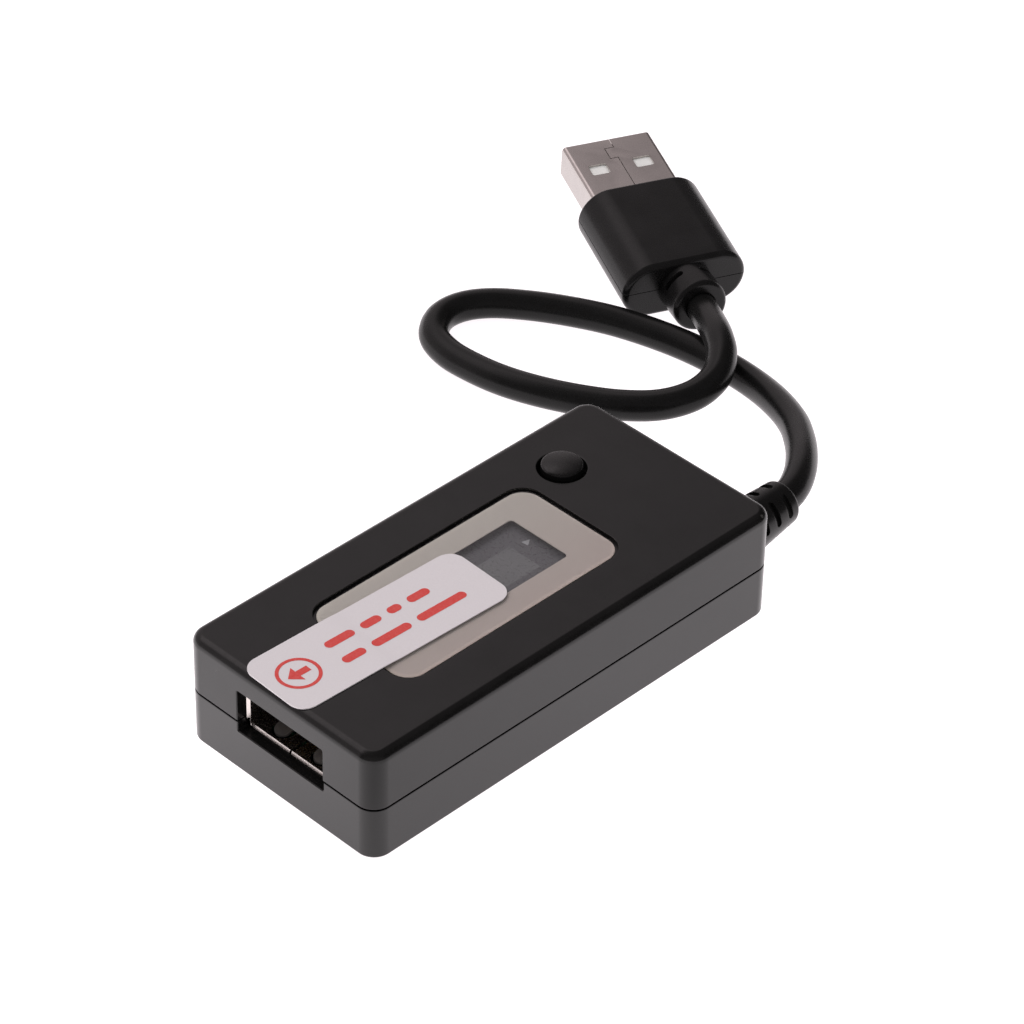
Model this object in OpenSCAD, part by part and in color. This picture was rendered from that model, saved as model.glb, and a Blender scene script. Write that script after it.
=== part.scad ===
// USB power meter: a small housing with a socket in front and a plug on a short cord.
// Origin at the middle of the housing's flat underside. X across, Y towards the cord, Z up. Millimetres.

/* [Housing] */
// Outside width of the housing
body_w = 29.5; // [29.5:0.1:30.5]
// Outside length of the housing
body_l = 62; // [62:0.1:63]
// Outside height of the housing
body_h = 14.3; // [14.3:0.1:15]
// Radius of the upright corners
corner_r = 2.3; // [2.2:0.1:2.6]
// Height of the bottom cover's rim
split_z = 6.7; // [6.7:0.1:7]
// Wall of the top cover
top_wall = 1.5; // [1.4:0.1:1.5]
// Wall of the bottom cover
bottom_wall = 2.2; // [2.1:0.1:2.2]
// Thickness of floor and roof
slab_t = 1.6; // [1.4:0.1:1.6]

/* [Display panel] */
// Width of the recess for the panel
panel_w = 15.9; // [15:0.1:16]
// Length of the recess for the panel
panel_l = 33.2; // [33:0.1:33.3]
// Corner radius of the recess
panel_r = 2.5; // [2:0.1:3]
// Depth of the recess
panel_depth = 0.45; // [0.4:0.05:0.5]
// Width of the display window
window_w = 8.9; // [8:0.1:9]
// Length of the display window
window_l = 19.2; // [18:0.1:19.2]

/* [Peel tab] */
// Width of the sticker tab
tab_w = 10.2; // [9:0.1:11]
// Length of the sticker tab
tab_l = 30.4; // [29:0.1:30.4]
// Turn of the sticker tab on the housing
tab_turn = -2; // [-3:0.5:0]

/* [Button] */
// Diameter of the button
cap_d = 4.9; // [4.6:0.1:5.2]
// Diameter of its hole in the cover
cap_hole_d = 5.76; // [5.4:0.02:6]
// How far the button stands above the cover
cap_rise = 0.85; // [0.8:0.05:0.95]
// Way the button moves when pressed
press_travel = 0.3; // [0.2:0.05:0.35]

/* [Socket] */
// Width inside the socket's metal frame
socket_w = 12.5; // [12.3:0.1:12.5]
// Height inside the socket's metal frame
socket_h = 5.12; // [5.1:0.01:5.12]
// Depth of the socket's metal frame
socket_l = 13.8; // [13.4:0.1:13.8]
// Thickness of the frame's sheet metal
sheet_t = 0.3; // [0.25:0.01:0.3]

/* [Cord] */
// Diameter of the cord
cord_d = 3.8; // [3.6:0.1:3.8]
// Length of the sleeve outside the housing
sleeve_l = 8.92; // [8.85:0.01:9]
// Diameter of the sleeve where it meets the housing
sleeve_d = 6.8; // [6.6:0.1:7]

/* [Plug] */
// Length of the plug's grip
grip_l = 16.3; // [16:0.1:16.6]
// Width of the plug's grip
grip_w = 16.4; // [16:0.1:16.6]
// Thickness of the plug's grip
grip_t = 8; // [7.8:0.1:8]
// Width of the plug's metal frame
plug_w = 12; // [11.9:0.1:12]
// Height of the plug's metal frame
plug_h = 4.5; // [4.4:0.1:4.5]
// Reach of the metal frame, from the back of the grip to the tip
plug_reach = 27.65; // [27.5:0.05:27.8]

/* [Hidden] */
$fn = 48;
// housing
seam_gap = 0.2;
fit_gap = 0.1;
lip_h = 1;
roof_z = body_h - slab_t;
post_r = 2;
pin_r = 1.2;
pin_top = 8.4;
post_spots = [[-10.2, -24], [10.2, -24], [-10.2, 25], [10.2, 16]];
// circuit board
board_z = 3.8;
board_t = 1.6;
board_top = board_z + board_t;
board_w = 24.4;
board_y0 = -27.5;
board_y1 = 26.8;
// display panel
panel_x = -0.1;
panel_y = -2.8;
panel_floor = body_h - panel_depth;
print_t = 0.1;
lens_top = body_h - 0.15;
film_t = 0.06;
film_inset = 0.4;
film_top = lens_top + film_t;
window_x = -0.1;
window_y = -1.43;
// display glass and its holder
glass_w = 12;
glass_l = 23;
glass_z = roof_z - 1.3;
glass_t = 0.9;
holder_w = 12.6;
holder_l = 23.6;
// sticker tab
tab_x = -0.54;
tab_y = -15.7;
tab_t = 0.12;
tab_lift = 0.02;
// button and switch
cap_x = -7.22;
cap_y = 19.14;
flange_t = 0.65;
flange_top = roof_z - 0.15;
switch_w = 6;
switch_h = 3.5;
switch_top = board_top + switch_h;
plunger_r = 1.7;
plunger_top = switch_top + 1.5;
plunger_foot = board_top + 1.5 + press_travel;
// socket
socket_x = 0.25;
socket_y = -29.45;
socket_floor = 5.75;
rim_w = socket_w + 2 * sheet_t;
rim_h = socket_h + 2 * sheet_t;
tongue_w = 11.1;
tongue_z0 = 8.31;
tongue_t = 1.84;
tongue_y = socket_y + 1.25;
block_y = socket_y + 9.95;
finger_w = 2.1;
finger_x = 3.1;
finger_y = -28.6;
// lips of the metal frame that turn out at its two sides
lip_out = 0.3;
lip_low = 0.9;
contact_xs = [-3.5, -1, 1, 3.5];
leg_ys = [-26.3, -19.7];
// x of each core's pad on the board
pad_xs = [5.2, 7.4, 9.6, 11.2];
// sleeve on the housing
sleeve_x = 8.6;
sleeve_z = 7;
sleeve_turn = 3.22;
sleeve_tip_d = 5.4;
sleeve_stand = 0.25;
sleeve_slots = [2.15, 4.45, 6.75];
sleeve_slot_turn = 35;
neck_r = 2.9;
// slots of a sleeve: width along it, reach round it, radius at their floor, and the bevel at its end
slot_w = 0.85;
slot_span = 3.1;
slot_floor_r = 2.4;
end_bevel = 0.5;
// plug
exit_at = [-27.4, 64.4, 4.25];
tail_l = 5.2;
tail_d = 7;
tail_root = 0.5;
tail_slot = 2.3;
tail_slot_turn = 45;
plug_turn = 155.6;
plug_tilt = 5.5;
tail_tilt = -2.5;
grip_back = exit_at + tail_l * [
  cos(plug_turn) * cos(tail_tilt),
  sin(plug_turn) * cos(tail_tilt),
  sin(tail_tilt)
];
shell_x0 = 9;
// square holes and stepped seam of the plug's metal frame, from the back of the grip
hole_x = 21.1;
hole_l = 2;
hole_w = 2.4;
hole_y = 3;
seam_w = 0.08;
seam_back_y = 0.16;
seam_step_y = -0.89;
seam_front_y = 0.36;
seam_step_x = 23.7;
seam_front_x = 25.8;
// cord route: out of the sleeve, down to the floor, round one loop and over itself to the plug
route = [
  [8.1, 39.9, 7], [7.4, 42.5, 7], [5.9, 45.3, 6.8], [3.6, 48.3, 6.3],
  [0.6, 51.4, 5.5], [-3.3, 54.6, 4.5], [-8.2, 57.3, 3.4], [-13.6, 59.3, 2.3],
  [-19, 59.9, 1.95], [-24.6, 59.5, 1.95], [-30, 58.4, 1.95], [-35.3, 56.7, 1.95],
  [-40.2, 54.3, 1.95], [-44.6, 51.5, 1.95], [-48.2, 48.4, 1.95], [-50.1, 45.1, 1.95],
  [-50.1, 41.6, 1.95], [-47.9, 38.5, 1.95], [-44.1, 37.2, 2], [-39.5, 37.1, 2.2],
  [-34.8, 37.6, 2.5], [-30, 38.9, 2.8], [-25.2, 40.9, 3.1], [-20.6, 43.4, 3.5],
  [-17, 46.4, 4], [-15, 50, 4.7], [-15.1, 53.7, 5.4], [-17.1, 56.9, 5.9],
  [-19.9, 59.3, 6], [-23.5, 61.8, 5.3], exit_at
];
cord_sides = 8;
out_of_sleeve = [-sin(sleeve_turn), cos(sleeve_turn), 0];
into_plug = [
  cos(plug_turn) * cos(tail_tilt),
  sin(plug_turn) * cos(tail_tilt),
  sin(tail_tilt)
];
black = [0.09, 0.09, 0.09];
steel = [0.68, 0.66, 0.63];
gold = [0.85, 0.66, 0.25];

// flat rounded rectangle, centred
module round_rect(w, l, r) {
  square([w - 2 * r, l], center = true);
  square([w, l - 2 * r], center = true);
  for (sx = [-1, 1], sy = [-1, 1])
    translate([sx * (w / 2 - r), sy * (l / 2 - r)])
      circle(r);
}

module prism(w, l, r, h) {
  linear_extrude(h)
    round_rect(w, l, r);
}

// box given by its middle in X, its low Y and Z, and its size
module block(x, y, z, size) {
  translate([x - size[0] / 2, y, z])
    cube(size);
}

// round rod from a to b
module rod(a, b, r) {
  d = b - a;
  translate(a)
    rotate([0, acos(d[2] / norm(d)), atan2(d[1], d[0])])
      cylinder(h = norm(d), r = r);
}

// window in the front wall, wider on the right by extra, and the room for the socket behind it
module socket_room(extra) {
  block(socket_x + extra / 2, -body_l / 2 - 1, 5.5, [13.4 + extra, 4, 5.6]);
  block(socket_x, -body_l / 2 + top_wall, 5.2, [14, socket_l, 6.3]);
}

// hole in the back wall for the neck of the sleeve
module sleeve_hole() {
  translate([sleeve_x, body_l / 2 - 4, sleeve_z])
    rotate([-90, 0, 0])
      cylinder(h = 5, r = neck_r + 0.05);
}

module bottom_cover() {
  color(black)
    difference() {
      union() {
        difference() {
          union() {
            prism(body_w, body_l, corner_r, split_z);
            translate([0, 0, split_z - 1])
              prism(
                body_w - 2 * top_wall - 2 * fit_gap,
                body_l - 2 * top_wall - 2 * fit_gap,
                corner_r - top_wall,
                lip_h + 1
              );
          }
          translate([0, 0, slab_t])
            prism(
              body_w - 2 * bottom_wall,
              body_l - 2 * bottom_wall,
              corner_r - bottom_wall + 0.2,
              body_h
            );
        }
        for (p = post_spots) {
          translate([p[0], p[1], slab_t - 0.1])
            cylinder(h = board_z - slab_t + 0.1, r = post_r);
          translate([p[0], p[1], slab_t])
            cylinder(h = pin_top - slab_t, r = pin_r);
        }
      }
      socket_room(0.15);
      sleeve_hole();
    }
}

module top_cover() {
  z0 = split_z + seam_gap;
  color(black)
    difference() {
      union() {
        difference() {
          translate([0, 0, z0])
            prism(body_w, body_l, corner_r, body_h - z0);
          translate([0, 0, z0 - 1])
            prism(
              body_w - 2 * top_wall,
              body_l - 2 * top_wall,
              corner_r - top_wall,
              roof_z - z0 + 1
            );
        }
        for (p = post_spots)
          translate([p[0], p[1], board_top + 0.1])
            cylinder(h = roof_z - board_top, r = post_r);
      }
      for (p = post_spots)
        translate([p[0], p[1], board_top])
          cylinder(h = pin_top - board_top + 0.6, r = pin_r + 0.05);
      translate([panel_x, panel_y, panel_floor])
        prism(panel_w, panel_l, panel_r, panel_depth + 1);
      translate([window_x, window_y, roof_z - 1])
        prism(glass_w + 0.4, glass_l + 0.4, 0.6, panel_floor - roof_z + 1.2);
      translate([cap_x, cap_y, roof_z - 1])
        cylinder(h = slab_t + 2, d = cap_hole_d);
      socket_room(0);
      sleeve_hole();
    }
}

module display_lens() {
  color([0.85, 0.88, 0.9, 0.3])
    translate([panel_x, panel_y, panel_floor + print_t])
      prism(panel_w - 0.2, panel_l - 0.2, panel_r - 0.1, lens_top - panel_floor - print_t);
}

module lens_print() {
  color([0.74, 0.7, 0.66])
    difference() {
      translate([panel_x, panel_y, panel_floor])
        prism(panel_w - 0.2, panel_l - 0.2, panel_r - 0.1, print_t);
      translate([window_x, window_y, panel_floor - 1])
        prism(window_w, window_l, 0.5, 2);
    }
}

module protective_film() {
  color([0.9, 0.92, 0.95, 0.25])
    translate([panel_x, panel_y, lens_top])
      prism(panel_w - 2 * film_inset, panel_l - 2 * film_inset, panel_r - film_inset, film_t);
}

// sticker: flat on the film, up a short ramp, then flat on the cover
module peel_tab() {
  low = film_top + tab_lift;
  high = body_h + tab_lift;
  ramp_low = -1.1;
  ramp_high = -3.1;
  color([0.95, 0.95, 0.95])
    translate([tab_x, tab_y, 0])
      rotate([0, 0, tab_turn])
        intersection() {
          translate([0, 0, lens_top])
            prism(tab_w, tab_l, 2, 2);
          rotate([90, 0, 90])
            translate([0, 0, -tab_w])
              linear_extrude(2 * tab_w)
                polygon([
                  [tab_l, low], [ramp_low, low], [ramp_high, high], [-tab_l, high],
                  [-tab_l, high + tab_t], [ramp_high, high + tab_t],
                  [ramp_low, low + tab_t], [tab_l, low + tab_t]
                ]);
        }
}

// low domed cap, a flange that keeps it in the cover, and a stem down to the switch
module button_cap() {
  dome = 0.35;
  ball = (cap_d * cap_d / 4 + dome * dome) / (2 * dome);
  color(black)
    translate([cap_x, cap_y, 0]) {
      intersection() {
        translate([0, 0, flange_top - 0.3])
          cylinder(h = body_h + cap_rise - flange_top + 0.4, d = cap_d);
        translate([0, 0, body_h + cap_rise - ball])
          sphere(ball, $fn = 96);
      }
      translate([0, 0, flange_top - flange_t])
        cylinder(h = flange_t, r = cap_hole_d / 2 + 0.5);
      translate([0, 0, plunger_top + 0.03])
        cylinder(h = flange_top - plunger_top - 0.1, r = 1.5);
    }
}

module switch_base() {
  color([0.15, 0.15, 0.15])
    difference() {
      block(cap_x, cap_y - switch_w / 2, board_top, [switch_w, switch_w, switch_h - 0.2]);
      translate([cap_x, cap_y, board_top + 0.8])
        cylinder(h = switch_h, r = 2.4);
    }
}

module switch_cover() {
  color(steel)
    difference() {
      block(cap_x, cap_y - switch_w / 2, switch_top - 0.2, [switch_w, switch_w, 0.2]);
      translate([cap_x, cap_y, switch_top - 1])
        cylinder(h = 2, r = plunger_r + 0.06);
    }
}

// snap disc, bowed up under the plunger
module switch_dome() {
  rise = plunger_foot - board_top - 0.8;
  color(steel)
    translate([cap_x, cap_y, board_top + 0.8])
      difference() {
        cylinder(h = rise - 0.02, r1 = 2.2, r2 = 1);
        translate([0, 0, -0.1])
          cylinder(h = rise - 0.02, r1 = 2.1, r2 = 0.9);
      }
}

module switch_plunger() {
  color([0.12, 0.12, 0.12])
    translate([cap_x, cap_y, 0]) {
      translate([0, 0, plunger_foot])
        cylinder(h = plunger_top - plunger_foot, r = plunger_r);
      translate([0, 0, plunger_foot])
        cylinder(h = 1.1, r = 2.2);
    }
}

module circuit_board() {
  color([0.1, 0.35, 0.2])
    difference() {
      block(0, board_y0, board_z, [board_w, board_y1 - board_y0, board_t]);
      block(sleeve_x, 22.6, board_z - 1, [9.4, 5, board_t + 2]);
      for (p = post_spots)
        translate([p[0], p[1], board_z - 1])
          cylinder(h = board_t + 2, r = pin_r + 0.1);
      for (sx = [-1, 1], y = leg_ys)
        block(
          socket_x + sx * (socket_w + sheet_t) / 2,
          y - 1.1,
          board_z - 1,
          [0.8, 2.2, board_t + 2]
        );
      for (x = contact_xs)
        block(socket_x + x, block_y + 1.6, board_z - 1, [0.9, 0.8, board_t + 2]);
    }
}

// front lip of the metal frame on one side, turned out into the mouth of the housing
module side_lip(sx) {
  half = socket_w / 2;
  translate([socket_x, socket_y, socket_floor + lip_low])
    mirror([sx < 0 ? 1 : 0, 0, 0])
      linear_extrude(socket_h - 2 * lip_low)
        polygon([
          [half, sheet_t],
          [half, 0],
          [half + lip_out, -lip_out],
          [half + lip_out + 0.1, 0.1 - lip_out],
          [half + sheet_t, 0],
          [half + sheet_t, sheet_t]
        ]);
}

// sheet-metal frame: tube with a closed back, legs into the board, two spring fingers, a seam below
module usb_socket_shell() {
  floor_z = socket_floor - sheet_t;
  mid_z = socket_floor + socket_h / 2;
  color(steel)
    difference() {
      union() {
        translate([socket_x, socket_y + socket_l, mid_z])
          rotate([90, 0, 0])
            prism(rim_w, rim_h, 0.5, socket_l);
        side_lip(-1);
        side_lip(1);
        for (sx = [-1, 1], y = leg_ys)
          block(
            socket_x + sx * (socket_w + sheet_t) / 2,
            y - 0.8,
            3.2,
            [sheet_t, 1.6, 3]
          );
      }
      translate([socket_x, socket_y + socket_l - sheet_t, mid_z])
        rotate([90, 0, 0])
          prism(socket_w, socket_h, 0.2, socket_l);
      block(socket_x, socket_y - 1, floor_z - 1, [0.08, 11, 1.5]);
      block(socket_x, block_y + 1, floor_z - 1, [10, 2, 1.5]);
      for (sx = [-1, 1])
        difference() {
          finger_cut(sx, 0.3, floor_z - 1);
          finger_cut(sx, 0, floor_z - 2);
        }
    }
}

// outline of a spring finger with a round tip at the front, grown by g
module finger_cut(sx, g, z) {
  tip_r = finger_w / 2;
  translate([socket_x + sx * finger_x, finger_y + tip_r, z]) {
    cylinder(h = 4, r = tip_r + g);
    translate([-tip_r - g, 0, 0])
      cube([2 * tip_r + 2 * g, 6, 4]);
  }
}

// four contacts under the tongue, turned down behind it into the board, grown by g
module socket_strips(g) {
  for (x = contact_xs) {
    block(
      socket_x + x,
      tongue_y + 0.6 - g,
      tongue_z0 - 0.2 - g,
      [1 + 2 * g, 11 + 2 * g, 0.2 + 2 * g]
    );
    block(
      socket_x + x,
      block_y + 1.8 - g,
      3.2,
      [0.6 + 2 * g, 0.4 + 2 * g, tongue_z0 - 3.3]
    );
  }
}

module usb_socket_tongue() {
  color(black)
    difference() {
      union() {
        block(socket_x, tongue_y, tongue_z0, [tongue_w, 9, tongue_t]);
        block(
          socket_x,
          block_y,
          socket_floor + 0.1,
          [socket_w - 0.3, socket_y + socket_l - sheet_t - block_y - 0.1, socket_h - 0.2]
        );
      }
      socket_strips(0.03);
    }
}

module usb_socket_contacts() {
  color(gold)
    socket_strips(0);
}

// two glass plates, the lower one longer to carry the terminals
module lcd_cell() {
  color([0.33, 0.34, 0.33]) {
    block(window_x, window_y - glass_l / 2, glass_z, [glass_w, glass_l, glass_t]);
    block(window_x, window_y - glass_l / 2 + 2, glass_z, [glass_w, glass_l - 2, 2 * glass_t]);
  }
}

module lcd_holder() {
  h = glass_z - board_top - 0.05;
  color([0.9, 0.9, 0.88])
    difference() {
      block(window_x, window_y - holder_l / 2, board_top, [holder_w, holder_l, h]);
      block(window_x, window_y - holder_l / 2 + 1, board_top - 1, [holder_w - 2, holder_l - 2, h]);
    }
}

// clip pins from the glass edge down to the board, in front of the holder
module lcd_pins() {
  y = window_y - holder_l / 2 - 0.45;
  top = glass_z + glass_t;
  color(steel)
    for (i = [-4:4])
      translate([window_x + 1.1 * i, 0, 0]) {
        block(0, y, board_top, [0.3, 0.25, top - board_top + 0.25]);
        block(0, y, top + 0.02, [0.3, 1.6, 0.23]);
      }
}

module controller_chip() {
  color([0.1, 0.1, 0.11])
    block(0, -6, board_top, [7, 7, 1.1]);
}

module shunt_resistor() {
  color([0.2, 0.2, 0.2])
    block(9.2, -12, board_top, [3.2, 6.3, 0.6]);
}

module regulator_chip() {
  color([0.1, 0.1, 0.11])
    block(-9.2, -14, board_top, [2.5, 4.5, 1.5]);
}

module small_chips() {
  color([0.55, 0.42, 0.28]) {
    for (i = [0:4])
      block(-9.2, -6 + 3.2 * i, board_top, [1.6, 0.8, 0.6]);
    for (i = [0:3])
      block(9.2, -2 + 3.2 * i, board_top, [1.6, 0.8, 0.6]);
  }
}

module solder_pads() {
  color(gold)
    for (x = pad_xs)
      block(x, 19.6, board_top, [1.2, 2.4, 0.1]);
}

// core number i, from the sleeve's inner end to its pad
module core(i, tint) {
  dx = 0.7 * (i - 1.5);
  color(tint)
    rod([sleeve_x + dx, 27.05, sleeve_z], [pad_xs[i], 20.4, board_top + 0.6], 0.33);
}

module wire_red() {
  core(0, [0.75, 0.1, 0.08]);
}

module wire_black() {
  core(3, [0.08, 0.08, 0.08]);
}

module wire_white() {
  core(1, [0.92, 0.92, 0.9]);
}

module wire_green() {
  core(2, [0.1, 0.5, 0.2]);
}

// round sleeve along +Y with a bevelled end, and four slots round it at each place in slots
module slotted_sleeve(l, d0, d1, slots, slot_turn) {
  difference() {
    rotate([-90, 0, 0])
      rotate_extrude()
        polygon([
          [0, 0], [d0 / 2, 0], [d1 / 2, l - end_bevel], [d1 / 2 - end_bevel, l], [0, l]
        ]);
    for (y = slots, k = [0:3])
      translate([0, y, 0])
        rotate([0, -slot_turn - 90 * k, 0])
          translate([slot_floor_r, 0, 0])
            rotate([90, 0, 90])
              prism(slot_w, slot_span, slot_w / 2 - 0.02, 3);
  }
}

module box_strain_relief() {
  y_in = body_l / 2 - bottom_wall - 0.1;
  color(black) {
    translate([sleeve_x, y_in - 1.5, sleeve_z])
      rotate([-90, 0, 0])
        cylinder(h = 1.5, r = 3.6);
    translate([sleeve_x, y_in - 0.1, sleeve_z])
      rotate([-90, 0, 0])
        cylinder(h = bottom_wall + 0.6, r = neck_r);
    translate([sleeve_x, body_l / 2, sleeve_z])
      rotate([0, 0, sleeve_turn])
        translate([0, sleeve_stand, 0])
          slotted_sleeve(
            sleeve_l - sleeve_stand,
            sleeve_d,
            sleeve_tip_d,
            sleeve_slots,
            sleeve_slot_turn
          );
  }
}

// point on the smooth curve through the route, t from 0 to 1 between stops i and i + 1
function stop(i) =
  i < 0 ? 2 * route[0] - route[1]
  : i >= len(route) ? 2 * route[len(route) - 1] - route[len(route) - 2]
  : route[i];
function curve(i, t) =
  0.5 * (
    2 * stop(i)
    + t * (stop(i + 1) - stop(i - 1))
    + t * t * (2 * stop(i - 1) - 5 * stop(i) + 4 * stop(i + 1) - stop(i + 2))
    + t * t * t * (3 * stop(i) - stop(i - 1) - 3 * stop(i + 1) + stop(i + 2))
  );
line = [
  for (i = [0:len(route) - 2], t = [0, 0.5]) curve(i, t),
  exit_at
];
function unit(v) = v / norm(v);
function heading(k) =
  k == 0 ? out_of_sleeve
  : k == len(line) - 1 ? into_plug
  : unit(line[k + 1] - line[k - 1]);
function ring(k) =
  let (
    u = unit(cross(heading(k), [0, 0, 1])),
    v = cross(u, heading(k))
  ) [
    for (j = [0:cord_sides - 1])
      let (a = 360 * (j + 0.5) / cord_sides)
        line[k] + cord_d / 2 * (u * cos(a) + v * sin(a))
  ];

module cord() {
  last = cord_sides * (len(line) - 1);
  color(black)
    polyhedron(
      points = [for (k = [0:len(line) - 1]) each ring(k)],
      faces = [
        [for (j = [0:cord_sides - 1]) j],
        for (k = [0:len(line) - 2], j = [0:cord_sides - 1]) [
          cord_sides * k + j,
          cord_sides * (k + 1) + j,
          cord_sides * (k + 1) + (j + 1) % cord_sides,
          cord_sides * k + (j + 1) % cord_sides
        ],
        [for (j = [cord_sides - 1:-1:0]) last + j]
      ]
    );
}

// moves a piece drawn along +X from the back of the grip to where the plug lies
module at_plug() {
  translate(grip_back)
    rotate([0, -plug_tilt, plug_turn])
      children();
}

// bar along +X with a rounded rectangle for its section
module bar(x, l, w, h, r) {
  translate([x, 0, 0])
    rotate([90, 0, 90])
      prism(w, h, r, l);
}

module plug_overmould() {
  color(black) {
    at_plug()
      difference() {
        bar(0, grip_l, grip_w, grip_t, grip_t / 2 - 0.01);
        bar(7.6, grip_l, plug_w + 0.1, plug_h + 0.1, 0.55);
      }
    translate(grip_back)
      rotate([0, -tail_tilt, plug_turn])
        translate([tail_root, 0, 0])
          rotate([0, 0, 90])
            slotted_sleeve(tail_l + tail_root, tail_d, tail_d, [tail_slot], tail_slot_turn);
  }
}

// folded sheet: tube with two holes above and two below, and a stepped seam on the upper side
module plug_shell() {
  color(steel)
    at_plug()
      difference() {
        bar(shell_x0, plug_reach - shell_x0, plug_w, plug_h, 0.5);
        bar(shell_x0 - 1, plug_reach, plug_w - 2 * sheet_t, plug_h - 2 * sheet_t, 0.2);
        for (sy = [-1, 1])
          translate([hole_x, sy * hole_y - hole_w / 2, -plug_h])
            cube([hole_l, hole_w, 2 * plug_h]);
        seam_cut([shell_x0 - 1, seam_back_y], [seam_step_x, seam_back_y]);
        seam_cut([seam_step_x, seam_step_y], [seam_step_x, seam_back_y]);
        seam_cut([seam_step_x, seam_step_y], [seam_front_x, seam_step_y]);
        seam_cut([seam_front_x, seam_step_y], [seam_front_x, seam_front_y]);
        seam_cut([seam_front_x, seam_front_y], [plug_reach + 1, seam_front_y]);
      }
}

// one straight run of the seam in the upper sheet, between two corners given as [x, y]
module seam_cut(a, b) {
  translate([a[0], a[1], 1])
    cube([b[0] - a[0] + seam_w, b[1] - a[1] + seam_w, 3]);
}

// contact strips of the plug, the outer two longer, grown by g
module plug_strips(g) {
  for (y = contact_xs)
    translate([shell_x0 - 1, y - 0.5 - g, -0.15 - g])
      cube([abs(y) > 2 ? 18.3 : 17.3, 1 + 2 * g, 0.2 + g]);
}

module plug_insulator() {
  color([0.93, 0.93, 0.9])
    at_plug()
      difference() {
        union() {
          translate([shell_x0 + 0.3, -5.6, 0.05])
            cube([17.6, 11.2, 1.88]);
          translate([shell_x0 + 0.3, -5.6, -1.93])
            cube([6.2, 11.2, 3]);
        }
        plug_strips(0.03);
      }
}

module plug_contacts() {
  color(gold)
    at_plug()
      plug_strips(0);
}

bottom_cover();
top_cover();
display_lens();
lens_print();
protective_film();
peel_tab();
button_cap();
switch_base();
switch_cover();
switch_dome();
switch_plunger();
circuit_board();
usb_socket_shell();
usb_socket_tongue();
usb_socket_contacts();
lcd_cell();
lcd_holder();
lcd_pins();
controller_chip();
shunt_resistor();
regulator_chip();
small_chips();
solder_pads();
wire_red();
wire_black();
wire_white();
wire_green();
box_strain_relief();
cord();
plug_overmould();
plug_shell();
plug_insulator();
plug_contacts();
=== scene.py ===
import math

import bmesh
import bpy
from mathutils import Matrix, Vector


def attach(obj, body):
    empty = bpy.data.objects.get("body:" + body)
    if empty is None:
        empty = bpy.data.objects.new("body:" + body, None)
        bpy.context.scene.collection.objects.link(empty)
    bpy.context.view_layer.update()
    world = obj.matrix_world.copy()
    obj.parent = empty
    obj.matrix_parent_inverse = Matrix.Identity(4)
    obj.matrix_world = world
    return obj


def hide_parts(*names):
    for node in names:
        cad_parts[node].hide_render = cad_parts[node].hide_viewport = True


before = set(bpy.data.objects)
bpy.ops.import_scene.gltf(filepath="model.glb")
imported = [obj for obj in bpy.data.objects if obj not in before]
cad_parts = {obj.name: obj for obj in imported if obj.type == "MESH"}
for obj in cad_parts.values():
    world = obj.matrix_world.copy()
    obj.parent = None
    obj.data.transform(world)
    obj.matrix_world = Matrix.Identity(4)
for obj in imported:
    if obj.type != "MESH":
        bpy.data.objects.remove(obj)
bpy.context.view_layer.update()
scene = bpy.context.scene
scene.view_settings.view_transform = "Standard"
scene.view_settings.look = "None"

MM = 0.001
BODY_W, BODY_L, BODY_H = 29.5, 62.0, 14.3
SPLIT_Z, SEAM = 6.7, 0.2
CORNER_R, TOP_EDGE_R, LOW_EDGE_R = 2.3, 1.1, 0.4
TOP_WALL, LOW_WALL, SLAB = 1.5, 2.2, 1.6
ROOF_Z = BODY_H - SLAB
BOARD_Z, BOARD_TOP = 3.8, 5.4
POSTS = [(-10.2, -24), (10.2, -24), (-10.2, 25), (10.2, 16)]
PANEL_W, PANEL_L, PANEL_R, PANEL_X, PANEL_Y = 15.9, 33.2, 2.5, -0.1, -2.8
PANEL_FLOOR, LENS_TOP = 13.85, 14.15
WINDOW_X, WINDOW_Y, WINDOW_W, WINDOW_L, DISPLAY_TOP = -0.25, -1.05, 8.9, 19.2, 13.2
GLASS_X, GLASS_Y, GLASS_W, GLASS_L = -0.1, -1.43, 12.0, 23.0
CAP_X, CAP_Y, CAP_D, CAP_HOLE_D, CAP_TOP = -7.22, 19.14, 4.9, 5.76, 15.15
SOCKET_X, SOCKET_Y, SOCKET_L = 0.25, -29.45, 13.8
SOCKET_W, SOCKET_H, SOCKET_FLOOR, SHEET = 12.5, 5.12, 5.75, 0.3
SLEEVE_X, SLEEVE_Z, SLEEVE_TURN, SLEEVE_L, SLEEVE_STAND = 8.6, 7.0, 3.22, 8.92, 0.25
SLOT_W, SLOT_SPAN, SLOT_FLOOR_R = 0.85, 3.1, 2.4
CORD_D = 3.8
EXIT_AT = Vector((-27.4, 64.4, 4.25))
TAIL_L, TAIL_ROOT, PLUG_TURN, PLUG_TILT, TAIL_TILT = 5.2, 0.5, 155.6, 5.5, -2.5
GRIP_L, GRIP_W, GRIP_T = 16.3, 16.4, 8.0
PLUG_W, PLUG_H, PLUG_REACH, SHELL_X0 = 12.0, 4.5, 27.65, 9.0


# ---------------------------------------------------------------- camera
CAMERA_AT = (251.83, -253.63, 300.34)
AZIMUTH, ELEVATION, ROLL = 44.365, 37.88, 1.226
SENSOR_W, FOCAL = 36, 147.03


def aim(azimuth, elevation, roll):
    """Rows right, up and back of a camera that looks down from that side."""
    a, e, r = (math.radians(v) for v in (azimuth, elevation, roll))
    back = Vector((math.sin(a) * math.cos(e), -math.cos(a) * math.cos(e), math.sin(e)))
    flat = Vector((0, 0, 1)).cross(back).normalized()
    rise = back.cross(flat)
    right = math.cos(r) * flat + math.sin(r) * rise
    up = -math.sin(r) * flat + math.cos(r) * rise
    return right, up, back


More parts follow.
